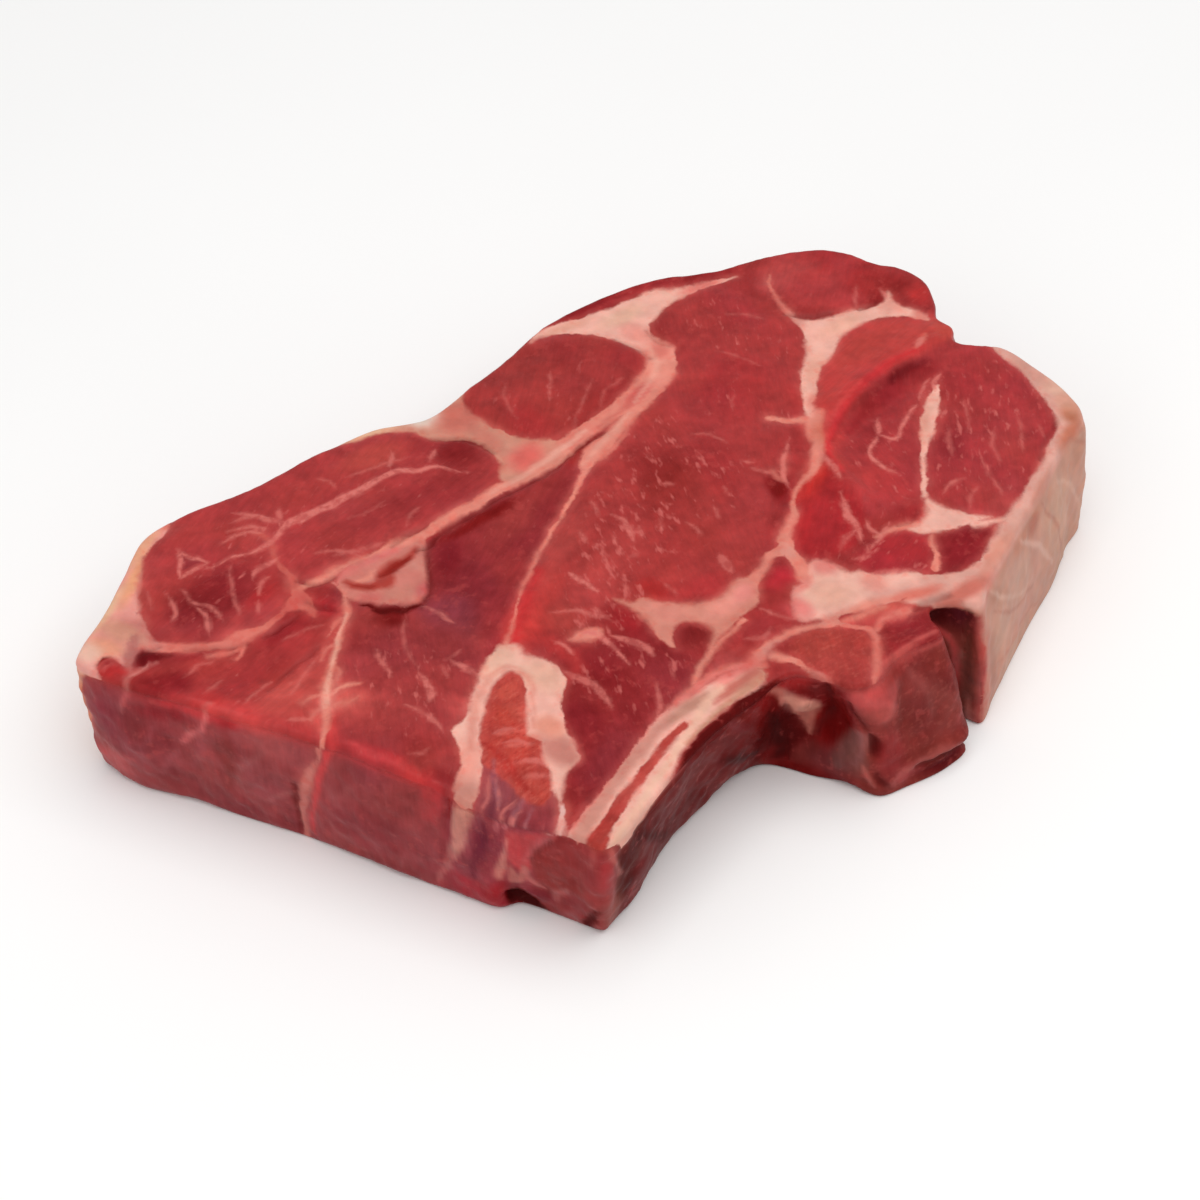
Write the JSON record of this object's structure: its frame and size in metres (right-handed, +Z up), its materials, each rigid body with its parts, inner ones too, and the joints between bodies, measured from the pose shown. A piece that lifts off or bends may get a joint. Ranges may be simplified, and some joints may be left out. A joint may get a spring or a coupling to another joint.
{
  "type": "raw bone-in beef chuck roast",
  "caption": "Thick raw slab of beef chuck with a rib strip, a backbone block, a bone end and outside fat, lying flat on its cut face.",
  "frame": {"origin": "centre of the slab's box in plan, on the underside that it rests on", "axes": "+X along the length of the slab towards the backbone end, +Y across it towards the side with no bone, +Z up out of the upper cut face"},
  "size_m": [0.3092, 0.1952, 0.0462],
  "materials": {
    "lean": "moist raw lean beef with fat seams and fine marbling",
    "outside_fat": "waxy pale fat, slightly pink",
    "bone": "sawn bone with a red marrow line",
    "spongy_bone": "sawn spongy bone, red with marrow",
    "cartilage": "smooth pale cartilage"
  },
  "bodies": {
    "root": {"lean_meat": "lean", "fat_cap": "outside_fat", "edge_fat": "outside_fat", "rib_bone": "bone", "backbone": "spongy_bone", "front_bone": "spongy_bone", "blade_cartilage": "cartilage"}
  },
  "joints": []
}
